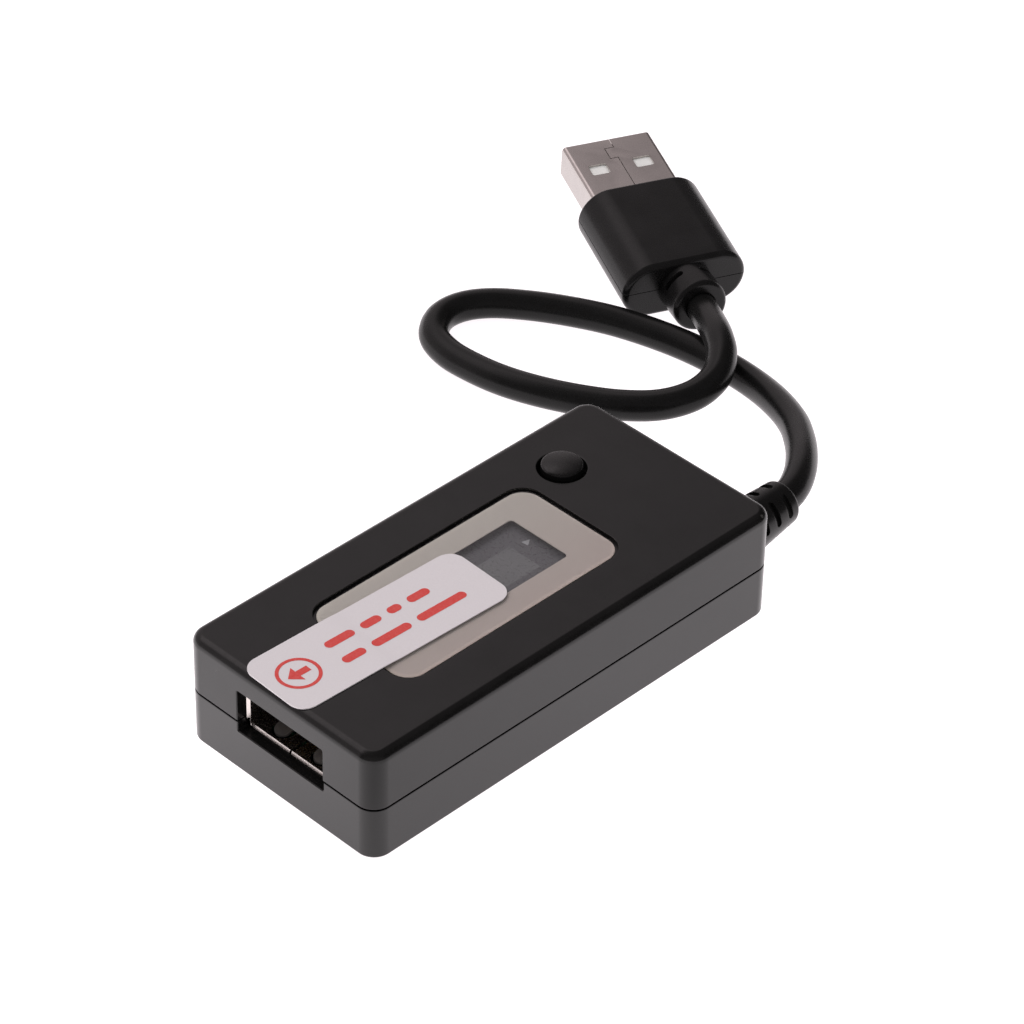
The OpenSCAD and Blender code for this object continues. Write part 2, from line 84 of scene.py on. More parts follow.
cam_data = bpy.data.cameras.new("camera")
cam_data.sensor_width = SENSOR_W
cam_data.lens = FOCAL
cam_data.clip_start = 0.01
cam_data.clip_end = 20
camera = bpy.data.objects.new("camera", cam_data)
scene.collection.objects.link(camera)
facing = Matrix(aim(AZIMUTH, ELEVATION, ROLL)).transposed().to_4x4()
camera.matrix_world = Matrix.Translation(Vector(CAMERA_AT) * MM) @ facing
scene.camera = camera


# ---------------------------------------------------------------- mesh helpers
def new_object(name, data):
    obj = bpy.data.objects.new(name, data)
    scene.collection.objects.link(obj)
    return obj


def mesh_object(name, verts, faces):
    """Mesh from points in millimetres."""
    me = bpy.data.meshes.new(name)
    me.from_pydata([Vector(v) * MM for v in verts], [], faces)
    me.validate()
    return new_object(name, me)


def rounded(w, l, r, steps=10):
    """Outline of a rounded rectangle, centred, anticlockwise."""
    pts = []
    r = max(min(r, w / 2 - 1e-4, l / 2 - 1e-4), 1e-4)
    for cx, cy, start in ((1, 1, 0), (-1, 1, 90), (-1, -1, 180), (1, -1, 270)):
        for i in range(steps + 1):
            a = math.radians(start + 90 * i / steps)
            pts.append((cx * (w / 2 - r) + r * math.cos(a), cy * (l / 2 - r) + r * math.sin(a)))
    return pts


def circle_pts(r, steps=64):
    return [
        (r * math.cos(2 * math.pi * i / steps), r * math.sin(2 * math.pi * i / steps))
        for i in range(steps)
    ]


def loft(name, rings, closed=True):
    """Skin over rings of equal length, capped at both ends unless told otherwise."""
    n = len(rings[0])
    verts = [p for ring in rings for p in ring]
    faces = []
    for k in range(len(rings) - 1):
        for j in range(n):
            a, b = k * n + j, k * n + (j + 1) % n
            faces.append((a, b, b + n, a + n))
    if closed:
        faces.append(tuple(reversed(range(n))))
        faces.append(tuple(range((len(rings) - 1) * n, len(rings) * n)))
    return mesh_object(name, verts, faces)


def upright(name, levels, steps=10):
    """Rounded-rectangle column. Each level is (z, width, length, corner radius, x, y)."""
    rings = []
    for z, w, l, r, x, y in levels:
        rings.append([(px + x, py + y, z) for px, py in rounded(w, l, r, steps)])
    return loft(name, rings)


def block(name, w, l, r, x, y, z0, z1, steps=10):
    """Rounded-rectangle column of one section from z0 to z1."""
    return upright(name, [(z, w, l, r, x, y) for z in (z0, z1)], steps)


def lathe(name, profile, steps=64):
    """Round piece about Z from (radius, z) points, capped."""
    return loft(name, [[(x, y, z) for x, y in circle_pts(r, steps)] for r, z in profile])


def place(obj, matrix):
    obj.data.transform(matrix)
    return obj


def shift(x, y, z):
    return Matrix.Translation(Vector((x, y, z)) * MM)


def turn(degrees, axis):
    return Matrix.Rotation(math.radians(degrees), 4, axis)


def box(name, lo, hi):
    (x0, y0, z0), (x1, y1, z1) = lo, hi
    return loft(name, [[(x0, y0, z), (x1, y0, z), (x1, y1, z), (x0, y1, z)] for z in (z0, z1)])


def bake(obj):
    """Applies the object's modifiers to its mesh."""
    bpy.context.view_layer.update()
    graph = bpy.context.evaluated_depsgraph_get()
    me = bpy.data.meshes.new_from_object(obj.evaluated_get(graph))
    obj.modifiers.clear()
    obj.data = me
    return obj


def fix_normals(obj, build=None):
    """Turns the mesh's faces outward, after adding to it what build makes."""
    bm = bmesh.new()
    bm.from_mesh(obj.data)
    if build:
        build(bm)
    bmesh.ops.recalc_face_normals(bm, faces=bm.faces)
    bm.to_mesh(obj.data)
    bm.free()


def combine(obj, others, operation):
    """Boolean with each of the others in turn, which are used up."""
    for other in others:
        mod = obj.modifiers.new("cut", "BOOLEAN")
        mod.operation = operation
        mod.solver = "EXACT"
        mod.object = other
        bake(obj)
        bpy.data.objects.remove(other)
    return obj


def cut(obj, *others):
    return combine(obj, others, "DIFFERENCE")


def join_to(obj, *others):
    return combine(obj, others, "UNION")


def soften(obj, width, segments=2, angle=35):
    """Small round edges."""
    mod = obj.modifiers.new("soft", "BEVEL")
    mod.width = width * MM
    mod.segments = segments
    mod.limit_method = "ANGLE"
    mod.angle_limit = math.radians(angle)
    mod.use_clamp_overlap = True
    mod.harden_normals = False
    return bake(obj)


def shade(obj, angle=32):
    """Smooth where the surface turns gently, crisp where it turns sharply."""
    me = obj.data
    me.shade_smooth()
    me.set_sharp_from_angle(angle=math.radians(angle))
    mod = obj.modifiers.new("normals", "WEIGHTED_NORMAL")
    mod.keep_sharp = True
    mod.weight = 80
    return obj


def finish_piece(obj, material, body, slot_name, *nodes):
    obj.data.materials.clear()
    obj.data.materials.append(material)
    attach(obj, body)
    if nodes:
        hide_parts(*nodes)
    return obj


# ---------------------------------------------------------------- cord route
ROUTE = [
    (8.1, 39.9, 7), (7.4, 42.5, 7), (5.9, 45.3, 6.8), (3.6, 48.3, 6.3),
    (0.6, 51.4, 5.5), (-3.3, 54.6, 4.5), (-8.2, 57.3, 3.4), (-13.6, 59.3, 2.3),
    (-19, 59.9, 1.95), (-24.6, 59.5, 1.95), (-30, 58.4, 1.95), (-35.3, 56.7, 1.95),
    (-40.2, 54.3, 1.95), (-44.6, 51.5, 1.95), (-48.2, 48.4, 1.95), (-50.1, 45.1, 1.95),
    (-50.1, 41.6, 1.95), (-47.9, 38.5, 1.95), (-44.1, 37.2, 2), (-39.5, 37.1, 2.2),
    (-34.8, 37.6, 2.5), (-30, 38.9, 2.8), (-25.2, 40.9, 3.1), (-20.6, 43.4, 3.5),
    (-17, 46.4, 4), (-15, 50, 4.7), (-15.1, 53.7, 5.4), (-17.1, 56.9, 5.9),
    (-19.9, 59.3, 6), (-23.5, 61.8, 5.3), tuple(EXIT_AT),
]


def smooth_line(points, per_span):
    """Points of the smooth curve through the route."""
    p = [Vector(v) for v in points]
    p = [2 * p[0] - p[1]] + p + [2 * p[-1] - p[-2]]
    line = []
    for i in range(1, len(p) - 2):
        a, b, c, d = p[i - 1 : i + 3]
        bend, twist = 2 * a - 5 * b + 4 * c - d, 3 * b - a - 3 * c + d
        for k in range(per_span):
            t = k / per_span
            line.append(0.5 * (2 * b + t * (c - a) + t * t * bend + t * t * t * twist))
    return line + [p[-2]]


def heading(turn_deg, tilt_deg):
    a, e = math.radians(turn_deg), math.radians(tilt_deg)
    return Vector((math.cos(a) * math.cos(e), math.sin(a) * math.cos(e), math.sin(e)))


into_plug = heading(PLUG_TURN, TAIL_TILT)
out_of_sleeve = heading(90 + SLEEVE_TURN, 0)
GRIP_BACK = EXIT_AT + TAIL_L * into_plug
cord_line = smooth_line(ROUTE, 8)
HIDDEN_END = 1.2
start = cord_line[0] - HIDDEN_END * out_of_sleeve
cord_line = [start] + cord_line + [cord_line[-1] + HIDDEN_END * into_plug]
curve = bpy.data.curves.new("cord", "CURVE")
curve.dimensions = "3D"
curve.bevel_depth = CORD_D / 2 * MM
curve.bevel_resolution = 10
curve.use_fill_caps = True
spline = curve.splines.new("POLY")
spline.points.add(len(cord_line) - 1)
for point, v in zip(spline.points, cord_line):
    point.co = (v.x * MM, v.y * MM, v.z * MM, 1)
spline.use_smooth = True
cord = new_object("power_cord", curve)


# ---------------------------------------------------------------- materials
class Shader:
    """Small wrapper round a material's node tree."""

    def __init__(self, name, color, rough, metallic=0.0):
        self.mat = bpy.data.materials.new(name)
        self.mat.use_nodes = True
        self.tree = self.mat.node_tree
        self.bsdf = self.tree.nodes["Principled BSDF"]
        self.out = self.tree.nodes["Material Output"]
        self.bsdf.inputs["Base Color"].default_value = (*color, 1)
        self.bsdf.inputs["Roughness"].default_value = rough
        self.bsdf.inputs["Metallic"].default_value = metallic
        self.mat.diffuse_color = (*color, 1)
        self.coords = self.add("ShaderNodeTexCoord").outputs["Object"]

    def add(self, kind, inputs=None, **attributes):
        node = self.tree.nodes.new(kind)
        for key, value in attributes.items():
            setattr(node, key, value)
        for key, value in (inputs or {}).items():
            self.set(node.inputs[key], value)
        return node

    def set(self, socket, value):
        if isinstance(value, bpy.types.NodeSocket):
            self.tree.links.new(value, socket)
        else:
            socket.default_value = value

    def noise(self, scale, detail=3.0, rough=0.55, vector=None):
        node = self.add(
            "ShaderNodeTexNoise",
            {"Vector": vector or self.coords, "Scale": scale, "Detail": detail, "Roughness": rough},
        )
        return node.outputs["Fac"]

    def remap(self, value, lo, hi, new_lo, new_hi):
        node = self.add(
            "ShaderNodeMapRange",
            {"Value": value, "From Min": lo, "From Max": hi, "To Min": new_lo, "To Max": new_hi},
        )
        return node.outputs["Result"]

    def patches(self, scale, new_lo, new_hi, detail=3.0):
        """Noise of that scale, stretched to run between the two values."""
        return self.remap(self.noise(scale, detail), 0.3, 0.7, new_lo, new_hi)

    def math(self, operation, a, b=0.0, clamp=False):
        node = self.add("ShaderNodeMath", {0: a, 1: b}, operation=operation, use_clamp=clamp)
        return node.outputs["Value"]

    def mix(self, fac, a, b):
        a = (*a, 1) if isinstance(a, tuple) and len(a) == 3 else a
        b = (*b, 1) if isinstance(b, tuple) and len(b) == 3 else b
        node = self.add("ShaderNodeMix", {"Factor": fac}, data_type="RGBA")
        self.set(node.inputs[6], a)
        self.set(node.inputs[7], b)
        return node.outputs[2]

    def pointed(self, lo=0.53, hi=0.62):
        """Mask of outward edges, 0 to 1."""
        geo = self.add("ShaderNodeNewGeometry")
        return self.remap(geo.outputs["Pointiness"], lo, hi, 0.0, 1.0)

    def specks(self, scale, size):
        """Sparse small dots: dust and pits."""
        cell = self.add("ShaderNodeTexVoronoi", {"Vector": self.coords, "Scale": scale})
        draw = self.add("ShaderNodeSeparateColor", {0: cell.outputs["Color"]}).outputs[0]
        picked = self.math("GREATER_THAN", draw, 0.93)
        near = self.math("LESS_THAN", cell.outputs["Distance"], size)
        return self.math("MULTIPLY", picked, near)

    def bump(self, height, strength, distance, normal=None):
        inputs = {"Height": height, "Strength": strength, "Distance": distance}
        if normal is not None:
            inputs["Normal"] = normal
        return self.add("ShaderNodeBump", inputs).outputs["Normal"]

    def link(self, socket_name, value):
        self.set(self.bsdf.inputs[socket_name], value)


def plastic(name, color, rough, vary=0.25, rough_vary=0.07, grain=14000, grain_depth=0.012,
            blotch=260, wear=0.5, dust=0.0, specular=0.5):
    """Moulded plastic or rubber: fine grain, uneven gloss, paler edges and a little dust."""
    s = Shader(name, color, rough)
    s.bsdf.inputs["Specular IOR Level"].default_value = specular
    broad = s.noise(blotch, 4.0)
    fine = s.noise(grain, 2.0)
    pale = tuple(min(1.0, c * (1 + 2.2 * wear) + 0.004 * wear) for c in color)
    tone = s.mix(
        s.remap(broad, 0.3, 0.7, 0.0, 1.0),
        tuple(c * (1 - vary) for c in color),
        tuple(min(1.0, c * (1 + vary)) for c in color),
    )
    tone = s.mix(s.math("MULTIPLY", s.pointed(), 0.6 * wear), tone, pale)
    if dust:
        tone = s.mix(s.math("MULTIPLY", s.specks(420, 0.09), dust), tone, (0.3, 0.29, 0.28))
    s.link("Base Color", tone)
    scuffs = s.remap(s.noise(1900, 5.0), 0.35, 0.65, -rough_vary, rough_vary)
    s.link("Roughness", s.math("ADD", scuffs, rough, clamp=True))
    wavy = s.bump(s.noise(blotch * 0.5, 1.0), 0.25, 0.00002)
    s.link("Normal", s.bump(fine, 0.5, grain_depth * MM, wavy))
    return s


def metal(name, color, rough, brush=(1, 1, 1), depth=0.004, tarnish=0.3, metallic=1.0):
    """Plated sheet metal: brushed grain along the rolling direction, stains, brighter edges."""
    s = Shader(name, color, rough, metallic)
    scaled = s.add("ShaderNodeMapping", {"Vector": s.coords, "Scale": brush}).outputs["Vector"]
    streaks = s.noise(5000, 3.0, 0.6, scaled)
    stains = s.noise(520, 5.0)
    dark = tuple(c * (1 - tarnish) for c in color)
    tone = s.mix(s.remap(stains, 0.35, 0.7, 0.0, 1.0), color, dark)
    bright = tuple(min(1.0, c * 1.25) for c in color)
    tone = s.mix(s.math("MULTIPLY", s.pointed(), 0.6), tone, bright)
    s.link("Base Color", tone)
    s.link("Roughness", s.math("ADD", s.remap(streaks, 0.3, 0.7, -0.06, 0.08), rough, clamp=True))
    s.link("Normal", s.bump(streaks, 0.4, depth * MM))
    return s


def clear(name, tint, rough, shine):
    """Thin clear plastic: see-through with a gloss layer and faint smears."""
    s = Shader(name, tint, rough)
    smear = s.remap(s.noise(300, 5.0), 0.35, 0.7, rough * 0.6, rough * 1.8)
    glass = s.add("ShaderNodeBsdfTransparent", {"Color": (*tint, 1)}).outputs[0]
    wavy = s.bump(s.noise(160, 2.0), 0.3, 0.00001)
    gloss = s.add("ShaderNodeBsdfGlossy", {"Roughness": smear, "Normal": wavy}).outputs[0]
    fresnel = s.add("ShaderNodeFresnel", {"IOR": 1.49}).outputs[0]
    outside = s.math("SUBTRACT", 1.0, s.add("ShaderNodeNewGeometry").outputs["Backfacing"])
    fac = s.math("MULTIPLY", s.math("MULTIPLY", fresnel, shine, clamp=True), outside)
    mixed = s.add("ShaderNodeMixShader", {0: fac, 1: glass, 2: gloss}).outputs[0]
    s.set(s.out.inputs["Surface"], mixed)
    return s


housing_mat = plastic(
    "housing_plastic", (0.0052, 0.005, 0.005), 0.21,
    rough_vary=0.03, dust=0.12, grain_depth=0.0015,
).mat
top_cover_mat = plastic(
    "housing_top_plastic", (0.0054, 0.0052, 0.0052), 0.21,
    rough_vary=0.03, dust=0.12, grain_depth=0.0015, specular=0.38,
).mat
inner_mat = plastic("inner_plastic", (0.012, 0.012, 0.012), 0.5).mat
button_mat = plastic(
    "button_plastic", (0.005, 0.0048, 0.0048), 0.26,
    wear=0.5, grain_depth=0.0015, specular=0.4,
).mat
rubber_mat = plastic(
    "cord_rubber", (0.0064, 0.0063, 0.0063), 0.28,
    vary=0.12, rough_vary=0.015, grain=9000, grain_depth=0.0003, blotch=420,
    wear=0.2, dust=0.04, specular=0.22,
).mat
grip_mat = plastic(
    "grip_rubber", (0.0072, 0.0069, 0.0071), 0.28,
    rough_vary=0.015, grain=8000, grain_depth=0.0006, blotch=300,
    dust=0.04, specular=0.22,
).mat
white_mat = plastic("white_plastic", (0.82, 0.81, 0.79), 0.4, vary=0.06, wear=0.1).mat
chip_mat = plastic("chip_black", (0.02, 0.02, 0.022), 0.55, vary=0.3).mat
ceramic_mat = plastic("chip_ceramic", (0.36, 0.26, 0.16), 0.5, vary=0.3).mat
steel_mat = metal("nickel_steel", (0.6, 0.555, 0.53), 0.26, depth=0.002).mat
plug_steel_mat = metal(
    "plug_steel", (0.49, 0.455, 0.438), 0.2, brush=(0.3, 1, 1), depth=0.0015, tarnish=0.1
).mat
finger_mat = metal("finger_steel", (0.4, 0.375, 0.36), 0.35, depth=0.002, metallic=0.8).mat
gold_mat = metal("gold_plate", (0.88, 0.62, 0.26), 0.24).mat
wire_mats = {
    tint: plastic(f"sleeve_{tint}", rgb, 0.42, vary=0.1, wear=0.2).mat
    for tint, rgb in (
        ("red", (0.5, 0.03, 0.02)),
        ("black", (0.015, 0.015, 0.015)),
        ("white", (0.78, 0.77, 0.74)),
        ("green", (0.02, 0.26, 0.07)),
    )
}


def board_material():
    """Green solder mask with copper tracks just showing through it."""
    s = Shader("board_mask", (0.01, 0.09, 0.045), 0.32)
    tracks = s.add(
        "ShaderNodeTexBrick",
        {
            "Vector": s.coords,
            "Color1": (0.012, 0.12, 0.06, 1),
            "Color2": (0.01, 0.1, 0.05, 1),
            "Mortar": (0.006, 0.055, 0.028, 1),
            "Scale": 420.0,
            "Mortar Size": 0.06,
        },
    )
    tone = s.mix(s.patches(200, 0.0, 0.5), tracks.outputs["Color"], (0.012, 0.1, 0.05))
    s.link("Base Color", tone)
    s.link("Roughness", s.patches(2500, 0.26, 0.4))
    s.link("Normal", s.bump(tracks.outputs["Fac"], 0.3, 0.00003))
    return s.mat


def panel_material():
    """Silver-beige ink: fine sparkle, a faint cloudiness, and a painted reflection: brightness falls slowly
    to the right, standing in for a bright panel on the left mirrored in the ink.
    """
    s = Shader("panel_ink", (0.45, 0.39, 0.37), 0.42)
    side = s.add("ShaderNodeSeparateXYZ", {"Vector": s.coords}).outputs["X"]
    cloud = s.patches(180, -0.08, 0.08, 4.0)
    # painted reflection: the ink is paler on the left of the panel and darker on the right
    reach = 7.5 * MM
    across = s.math("ADD", s.remap(side, -reach, reach, 0.0, 1.0), cloud, clamp=True)
    tone = s.mix(across, (0.555, 0.51, 0.445), (0.52, 0.438, 0.388))
    flakes = s.remap(s.noise(16000, 2.0), 0.62, 0.72, 0.0, 0.25)
    s.link("Base Color", s.mix(flakes, tone, (0.75, 0.68, 0.62)))
    s.link("Roughness", s.patches(5000, 0.36, 0.5))
    s.link("Normal", s.bump(s.noise(11000, 2.0), 0.3, 0.000006))
    return s.mat


def display_material():
    """Switched-off display: dark border and a paler viewing area, which ends short of the cord end."""
    view_x, view_half_w, view_end_y = 0.35 * MM, 2.4 * MM, 5.65 * MM
    s = Shader("display_glass", (0.1, 0.1, 0.1), 0.3)
    axes = s.add("ShaderNodeSeparateXYZ", {"Vector": s.coords})
    across = s.math("ABSOLUTE", s.math("SUBTRACT", axes.outputs["X"], view_x))
    in_x = s.math("LESS_THAN", across, view_half_w)
    in_y = s.math("LESS_THAN", axes.outputs["Y"], view_end_y)
    view = s.math("MULTIPLY", in_x, in_y)
    dark = s.mix(s.patches(6000, -0.04, 0.04), (0.092, 0.09, 0.094), (0.104, 0.102, 0.106))
    pale = s.mix(s.patches(700, 0.0, 1.0), (0.143, 0.143, 0.143), (0.158, 0.158, 0.156))
    s.link("Base Color", s.mix(view, dark, pale))
    s.link("Roughness", s.patches(2500, 0.24, 0.36))
    s.link("Normal", s.bump(s.noise(9000), 0.06, 0.000004))
    return s.mat


def sticker_material():
    """Coated paper, white with a touch of pink: faint fibres and slight waviness."""
    s = Shader("sticker_white", (0.74, 0.72, 0.735), 0.45)
    fibre = s.noise(5200, 5.0, 0.7)
    tone = s.mix(s.remap(fibre, 0.3, 0.7, 0.0, 1.0), (0.675, 0.63, 0.65), (0.715, 0.67, 0.69))
    s.link("Base Color", tone)
    s.link("Roughness", s.patches(900, 0.38, 0.52))
    s.link("Normal", s.bump(s.noise(420, 3.0), 0.35, 0.00004, s.bump(fibre, 0.3, 0.000004)))
    return s.mat


def ink_material():
    """Red printing ink with a slightly uneven cover."""
    s = Shader("red_ink", (0.62, 0.045, 0.04), 0.4)
    cover = s.remap(s.noise(4200, 4.0), 0.3, 0.75, 0.0, 1.0)
    s.link("Base Color", s.mix(cover, (0.62, 0.04, 0.035), (0.66, 0.09, 0.08)))
    s.link("Roughness", s.patches(3000, 0.34, 0.48))
    s.link("Normal", s.bump(s.noise(6000), 0.2, 0.000004))
    return s.mat


board_mat = board_material()
panel_mat = panel_material()
display_mat = display_material()
sticker_mat = sticker_material()
ink_mat = ink_material()
lens_mat = clear("panel_clear", (0.97, 0.97, 0.975), 0.06, 1.0).mat
film_mat = clear("film_clear", (0.985, 0.985, 0.99), 0.1, 0.8).mat


# ---------------------------------------------------------------- covers
MOUTH_W, MOUTH_H, MOUTH_Z, MOUTH_R, MOUTH_EASE = 13.4, 5.6, 8.3, 0.18, 0.1
ROOM_HALF_W, ROOM_FLOOR, ROOM_ROOF = 7.0, 5.2, 11.5
POST_R, POST_BORE_R, PIN_R = 2.0, 1.25, 1.2
POST_BORE_TOP, PIN_TOP = 9.0, 8.4
SLEEVE_BORE_R, SLEEVE_BORE_L = 2.95, 3.0
FLARE, GROOVE, LIP_ROUND = 0.08, 0.3, 0.14


def wall_level(z, inset):
    return (z, BODY_W - 2 * inset, BODY_L - 2 * inset, CORNER_R - inset, 0, 0)


def edge_levels(z_edge, r, upward, steps):
    """Levels of a round edge: upward ones end at z_edge, the others start there."""
    levels = []
    for i in range(steps + 1):
        a = math.radians(90 * i / steps)
        z = z_edge - r + r * math.sin(a) if upward else z_edge + r - r * math.sin(a)
        levels.append(wall_level(z, r * (1 - math.cos(a))))
    return levels if upward else list(reversed(levels))


def chamfered_pocket(name, w, l, r, x, y, floor, top, flare):
    """Cutter whose mouth at the top opens out by flare."""
    reach = 0.6
    return upright(
        name,
        [
            (floor, w, l, r, x, y),
            (top - flare, w, l, r, x, y),
            (top - 0.35 * flare, w + 0.5 * flare, l + 0.5 * flare, r + 0.25 * flare, x, y),
            (top, w + 2 * flare, l + 2 * flare, r + flare, x, y),
            (top + reach, w + 2 * flare + 2 * reach, l + 2 * flare + 2 * reach, r + flare + reach, x, y),
        ],
    )


def mouth_cutter(extra, flare):
    """Cutter for the socket window in the front wall, extra wider to the right, with an eased edge."""
    x, w = SOCKET_X + extra / 2, MOUTH_W + extra
    front = -BODY_L / 2
    rings = []
    for y, grow in ((front - 0.6, 0.6 + flare), (front, flare), (front + flare, 0.0), (front + 3, 0.0)):
        outline = rounded(w + 2 * grow, MOUTH_H + 2 * grow, MOUTH_R + grow, 4)
        rings.append([(x + px, y, MOUTH_Z - py) for px, py in outline])
    return loft("mouth_cut", rings)


def sleeve_cutter():
    r, wall = SLEEVE_BORE_R, SLEEVE_BORE_L
    obj = lathe("sleeve_cut", [(r, 0), (r, wall - 0.1), (r + 0.07, wall), (r + 0.65, wall + 0.6)], 48)
    place(obj, turn(-90, "X"))
    return place(obj, shift(SLEEVE_X, BODY_L / 2 - wall, SLEEVE_Z))


def room_cutter():
    front = -BODY_L / 2 + TOP_WALL
    return box(
        "room_cut",
        (SOCKET_X - ROOM_HALF_W, front, ROOM_FLOOR),
        (SOCKET_X + ROOM_HALF_W, front + SOCKET_L, ROOM_ROOF),
    )


def post_pieces(r, z0, z1):
    return [place(lathe("post", [(r, z0), (r, z1)], 24), shift(x, y, 0)) for x, y in POSTS]


def button_hole_cutter():
    r = CAP_HOLE_D / 2
    profile = [
        (r, ROOF_Z - 1), (r, BODY_H - 0.15), (r + 0.05, BODY_H - 0.05), (r + 0.15, BODY_H),
        (r + 0.65, BODY_H + 0.5),
    ]
    return place(lathe("button_hole", profile), shift(CAP_X, CAP_Y, 0))


z_low = SPLIT_Z + SEAM
top_levels = [wall_level(z_low, LIP_ROUND), wall_level(z_low + 0.04, 0.04), wall_level(z_low + LIP_ROUND, 0)]
top_levels += edge_levels(BODY_H, TOP_EDGE_R, True, 8)
top_cover = upright("cover_top", top_levels)
inside_w, inside_l = BODY_W - 2 * TOP_WALL, BODY_L - 2 * TOP_WALL
cut(top_cover, block("inside", inside_w, inside_l, CORNER_R - TOP_WALL, 0, 0, z_low - 1, ROOF_Z))
join_to(top_cover, *post_pieces(POST_R, BOARD_TOP + 0.1, ROOF_Z + 0.1))
cut(
    top_cover,
    *post_pieces(POST_BORE_R, BOARD_TOP, POST_BORE_TOP),
    chamfered_pocket(
        "recess", PANEL_W + 2 * GROOVE, PANEL_L + 2 * GROOVE, PANEL_R + GROOVE,
        PANEL_X, PANEL_Y, PANEL_FLOOR, BODY_H, FLARE,
    ),
    block(
        "ledge", GLASS_W + 0.4, GLASS_L + 0.4, 0.6, GLASS_X, GLASS_Y, ROOF_Z - 1, PANEL_FLOOR + 0.2
    ),
    button_hole_cutter(),
    mouth_cutter(0.0, MOUTH_EASE),
    room_cutter(),
    sleeve_cutter(),
)
shade(top_cover)
finish_piece(top_cover, top_cover_mat, "housing", "housing", "top_cover")

low_levels = edge_levels(0.0, LOW_EDGE_R, False, 7)
low_levels += [wall_level(SPLIT_Z - LIP_ROUND, 0), wall_level(SPLIT_Z - 0.04, 0.04)]
low_levels.append(wall_level(SPLIT_Z, LIP_ROUND))
bottom_cover = upright("cover_bottom", low_levels)
lip_inset = TOP_WALL + 0.1
lip_levels = ((SPLIT_Z - 1, lip_inset), (SPLIT_Z + 0.9, lip_inset), (SPLIT_Z + 1, lip_inset + 0.1))
join_to(bottom_cover, upright("lip", [wall_level(z, inset) for z, inset in lip_levels]))
cut(
    bottom_cover,
    block("inside", BODY_W - 2 * LOW_WALL, BODY_L - 2 * LOW_WALL, 0.5, 0, 0, SLAB, BODY_H),
)
join_to(
    bottom_cover,
    *post_pieces(POST_R, SLAB - 0.1, BOARD_Z),
    *post_pieces(PIN_R, SLAB, PIN_TOP),
)
cut(bottom_cover, mouth_cutter(0.15, MOUTH_EASE), room_cutter(), sleeve_cutter())
shade(bottom_cover)
finish_piece(bottom_cover, housing_mat, "housing", "housing", "bottom_cover")

# ---------------------------------------------------------------- button
SWITCH_H, PLUNGER_RISE = 3.5, 1.5
STEM_R, FLANGE_R, FLANGE_T, FLANGE_EASE = 1.5, 3.36, 0.65, 0.05
CAP_EDGE_R, CAP_DOME = 0.32, 0.2
flange_top = ROOF_Z - 0.15
plunger_top = BOARD_TOP + SWITCH_H + PLUNGER_RISE
profile = [
    (STEM_R, plunger_top + 0.03), (STEM_R, flange_top - FLANGE_T),
    (FLANGE_R - 0.06, flange_top - FLANGE_T), (FLANGE_R, flange_top - FLANGE_T + FLANGE_EASE),
    (FLANGE_R, flange_top - FLANGE_EASE), (FLANGE_R - 0.06, flange_top), (CAP_D / 2, flange_top),
]
for i in range(7):
    a = math.radians(76 * i / 6)
    edge_z = CAP_TOP - CAP_DOME - CAP_EDGE_R * (1 - math.sin(a))
    profile.append((CAP_D / 2 - CAP_EDGE_R * (1 - math.cos(a)), edge_z))
top_r, top_z = profile[-1]
for i in range(1, 9):
    t = i / 8
    profile.append((top_r * (1 - t) + 0.02 * t, CAP_TOP - (CAP_TOP - top_z) * (1 - t) ** 2))
button = place(lathe("button", profile), shift(CAP_X, CAP_Y, 0))
shade(button, 40)
finish_piece(button, button_mat, "button", "button", "button_cap")

# ---------------------------------------------------------------- display panel
# the sheets lie a little apart, because faces in one plane show dark bands
LABEL_T, FILM_T, FILM_INSET, GLASS_T, AIR = 0.1, 0.06, 0.4, 0.9, 0.01
SHEET_GAP = 0.1


def panel_level(z, inset):
    return (z, PANEL_W - 2 * inset, PANEL_L - 2 * inset, PANEL_R - inset, PANEL_X, PANEL_Y)


lens = upright(
    "panel_window",
    [
        panel_level(PANEL_FLOOR + LABEL_T + 2 * AIR, SHEET_GAP),
        panel_level(LENS_TOP - 0.04, SHEET_GAP),
        panel_level(LENS_TOP, SHEET_GAP + 0.03),
    ],
)
shade(lens)
finish_piece(lens, lens_mat, "housing", "clear", "display_lens")

label_levels = [panel_level(z, SHEET_GAP) for z in (PANEL_FLOOR, PANEL_FLOOR + LABEL_T)]
label = upright("panel_label", label_levels)
cut(label, block("window", WINDOW_W, WINDOW_L, 0.5, WINDOW_X, WINDOW_Y, PANEL_FLOOR - 1, BODY_H))
shade(label)
finish_piece(label, panel_mat, "housing", "panel_print", "lens_print")

film_levels = [panel_level(z, FILM_INSET) for z in (LENS_TOP + AIR, LENS_TOP + FILM_T)]
film = upright("panel_film", film_levels)
shade(film)
finish_piece(film, film_mat, "film", "film", "protective_film")

glass_base = DISPLAY_TOP - 2 * GLASS_T
glass_mid = glass_base + GLASS_T / 2
display = block(
    "display_cell", GLASS_W, GLASS_L, 0.1, GLASS_X, GLASS_Y, glass_base, glass_base + GLASS_T, 3
)
join_to(
    display,
    block("upper_glass", GLASS_W, GLASS_L - 2, 0.1, GLASS_X, GLASS_Y + 1, glass_mid, DISPLAY_TOP, 3),
)
shade(display)
finish_piece(display, display_mat, "housing", "display", "lcd_cell")

# ---------------------------------------------------------------- sticker
TAB_X, TAB_Y, TAB_TURN, TAB_W, TAB_L, TAB_T, TAB_R = -0.54, -15.7, -2, 10.2, 30.4, 0.12, 2.0
TAB_LOW, TAB_HIGH = LENS_TOP + FILM_T + 0.02, BODY_H + 0.02
RAMP_LOW, RAMP_HIGH = -1.1, -3.1


def tab_height(v):
    """Height of the sticker's underside at v along it: on the film, up a soft ramp, on the cover."""
    t = min(1.0, max(0.0, (RAMP_LOW - v) / (RAMP_LOW - RAMP_HIGH)))
    return TAB_LOW + (TAB_HIGH - TAB_LOW) * t * t * (3 - 2 * t)


